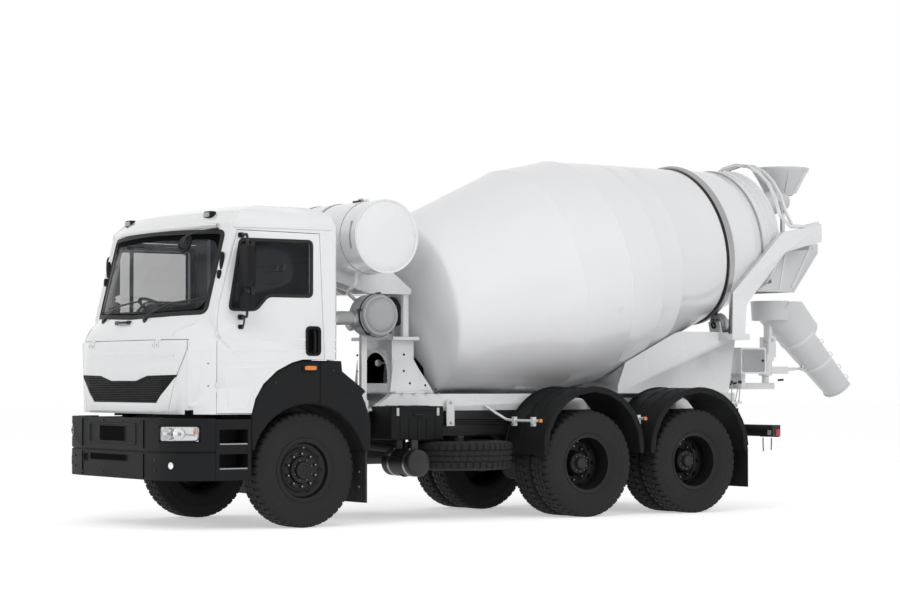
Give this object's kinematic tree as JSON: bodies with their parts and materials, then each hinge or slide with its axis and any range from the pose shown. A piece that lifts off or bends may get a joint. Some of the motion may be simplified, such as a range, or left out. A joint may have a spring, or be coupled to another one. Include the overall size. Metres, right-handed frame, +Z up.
{
  "type": "concrete mixer truck",
  "caption": "Forward-control truck with a tilting cab and twin rear axles that carries a slanted rotating mixer drum, a charging hopper and a swinging discharge chute.",
  "frame": {"origin": "middle of the truck's footprint box, on the ground", "axes": "+Z up; the truck faces -Y and its left side is +X"},
  "size_m": [2.9, 9.0448, 3.7283],
  "materials": {
    "white_paint": "gloss white coat",
    "black_paint": "satin black coat",
    "dark_plastic": "grained moulded plastic",
    "tyre_rubber": "matt rubber",
    "black_steel": "black wheel enamel",
    "bare_steel": "worn bare steel",
    "cast_iron": "cast and painted",
    "dark_glass": "tinted",
    "grey_trim": "grained grey plastic",
    "seat_cloth": "woven cloth"
  },
  "bodies": {
    "chassis": {"chassis_frame": "black_paint", "front_bumper": "dark_plastic", "front_axle": "cast_iron", "rear_axle_1": "cast_iron", "rear_axle_2": "cast_iron", "bogie_springs": "cast_iron", "engine_block": "cast_iron", "fuel_tank": "black_paint", "battery_box": "dark_plastic", "air_tank": "black_paint", "spare_wheel": "tyre_rubber", "front_fender_left": "dark_plastic", "front_fender_right": "dark_plastic", "rear_mudguard_left": "dark_plastic", "rear_mudguard_right": "dark_plastic", "subframe": "white_paint", "front_pedestal": "white_paint", "tank_stand": "white_paint", "water_tank": "white_paint", "air_cleaner": "grey_trim", "drum_gearbox": "white_paint", "rear_pedestal": "white_paint", "discharge_hopper": "white_paint", "charge_hopper": "white_paint"},
    "cab": {"cab_shell": "white_paint", "windscreen": "dark_glass", "dashboard": "grey_trim", "seat_driver": "seat_cloth", "seat_passenger": "seat_cloth"},
    "bonnet_panel": {"front_panel": "white_paint"},
    "door_left_body": {"door_left": "white_paint", "door_glass_left": "dark_glass", "mirror_left": "dark_plastic"},
    "door_right_body": {"door_right": "white_paint", "door_glass_right": "dark_glass", "mirror_right": "dark_plastic"},
    "steering_wheel_body": {"steering_wheel": "dark_plastic"},
    "steered_left": {"knuckle_left": "cast_iron"},
    "steered_right": {"knuckle_right": "cast_iron"},
    "front_wheel_left": {"wheel_front_left": "black_steel", "tyre_front_left": "tyre_rubber"},
    "front_wheel_right": {"wheel_front_right": "black_steel", "tyre_front_right": "tyre_rubber"},
    "rear_wheels_1_left": {"wheel_rear_1_left": "black_steel", "tyre_rear_1_outer_left": "tyre_rubber", "tyre_rear_1_inner_left": "tyre_rubber"},
    "rear_wheels_1_right": {"wheel_rear_1_right": "black_steel", "tyre_rear_1_outer_right": "tyre_rubber", "tyre_rear_1_inner_right": "tyre_rubber"},
    "rear_wheels_2_left": {"wheel_rear_2_left": "black_steel", "tyre_rear_2_outer_left": "tyre_rubber", "tyre_rear_2_inner_left": "tyre_rubber"},
    "rear_wheels_2_right": {"wheel_rear_2_right": "black_steel", "tyre_rear_2_outer_right": "tyre_rubber", "tyre_rear_2_inner_right": "tyre_rubber"},
    "drum": {"drum_shell": "white_paint"},
    "drum_roller_left": {"roller_left": "bare_steel"},
    "drum_roller_right": {"roller_right": "bare_steel"},
    "chute_carrier": {"chute_post": "white_paint"},
    "chute_body": {"chute": "white_paint"}
  },
  "joints": [
    {"name": "cab_tilt", "type": "hinge", "parent": "chassis", "child": "cab", "pos_m": [0, -4.28437, 1.068], "axis": [1, 0, 0], "range_deg": [0, 50]},
    {"name": "bonnet_panel_lift", "type": "hinge", "parent": "cab", "child": "bonnet_panel", "pos_m": [0, -4.42137, 1.714], "axis": [-1, 0, 0], "range_deg": [0, 75]},
    {"name": "door_left_open", "type": "hinge", "parent": "cab", "child": "door_left_body", "pos_m": [1.22, -4.09637, 1.5], "axis": [0, 0, -1], "range_deg": [0, 70]},
    {"name": "door_right_open", "type": "hinge", "parent": "cab", "child": "door_right_body", "pos_m": [-1.22, -4.09637, 1.5], "axis": [0, 0, 1], "range_deg": [0, 70]},
    {"name": "steering_wheel_turn", "type": "hinge", "parent": "cab", "child": "steering_wheel_body", "pos_m": [-0.56, -3.75437, 2.02], "axis": [0, 0.5, 0.866], "range_deg": [-684, 684]},
    {"name": "steer_left", "type": "hinge", "parent": "chassis", "child": "steered_left", "pos_m": [0.88, -3.13437, 0.527], "axis": [0, 0, 1], "range_deg": [-38, 38]},
    {"name": "steer_right", "type": "hinge", "parent": "chassis", "child": "steered_right", "pos_m": [-0.88, -3.13437, 0.527], "axis": [0, 0, 1], "range_deg": [-38, 38]},
    {"name": "front_wheel_left_roll", "type": "hinge", "parent": "steered_left", "child": "front_wheel_left", "pos_m": [1.01, -3.13437, 0.527], "axis": [1, 0, 0], "continuous": true},
    {"name": "front_wheel_right_roll", "type": "hinge", "parent": "steered_right", "child": "front_wheel_right", "pos_m": [-1.01, -3.13437, 0.527], "axis": [1, 0, 0], "continuous": true},
    {"name": "rear_wheels_1_left_roll", "type": "hinge", "parent": "chassis", "child": "rear_wheels_1_left", "pos_m": [0.9, 0.07863, 0.527], "axis": [1, 0, 0], "continuous": true},
    {"name": "rear_wheels_1_right_roll", "type": "hinge", "parent": "chassis", "child": "rear_wheels_1_right", "pos_m": [-0.9, 0.07863, 0.527], "axis": [1, 0, 0], "continuous": true},
    {"name": "rear_wheels_2_left_roll", "type": "hinge", "parent": "chassis", "child": "rear_wheels_2_left", "pos_m": [0.9, 1.43863, 0.527], "axis": [1, 0, 0], "continuous": true},
    {"name": "rear_wheels_2_right_roll", "type": "hinge", "parent": "chassis", "child": "rear_wheels_2_right", "pos_m": [-0.9, 1.43863, 0.527], "axis": [1, 0, 0], "continuous": true},
    {"name": "drum_spin", "type": "hinge", "parent": "chassis", "child": "drum", "pos_m": [0, -2.13437, 1.89], "axis": [0, 0.9789, 0.2045], "continuous": true},
    {"name": "roller_left_spin", "type": "hinge", "parent": "chassis", "child": "drum_roller_left", "pos_m": [0.45881, 2.37847, 1.95125], "axis": [0, 0.9789, 0.2045], "continuous": true},
    {"name": "roller_right_spin", "type": "hinge", "parent": "chassis", "child": "drum_roller_right", "pos_m": [-0.45881, 2.37847, 1.95125], "axis": [0, 0.9789, 0.2045], "continuous": true},
    {"name": "chute_swing", "type": "hinge", "parent": "chassis", "child": "chute_carrier", "pos_m": [0, 3.42563, 1.5], "axis": [0, 0, 1], "range_deg": [-75, 75]},
    {"name": "chute_tilt", "type": "hinge", "parent": "chute_carrier", "child": "chute_body", "pos_m": [0, 3.46563, 1.79], "axis": [1, 0, 0], "range_deg": [-8, 12]}
  ],
  "couplings": [
    {"joint": "steer_right", "follows": "steer_left", "ratio": 1},
    {"joint": "steering_wheel_turn", "follows": "steer_left", "ratio": 18},
    {"joint": "roller_left_spin", "follows": "drum_spin", "ratio": -7.8818},
    {"joint": "roller_right_spin", "follows": "drum_spin", "ratio": -7.8818}
  ]
}
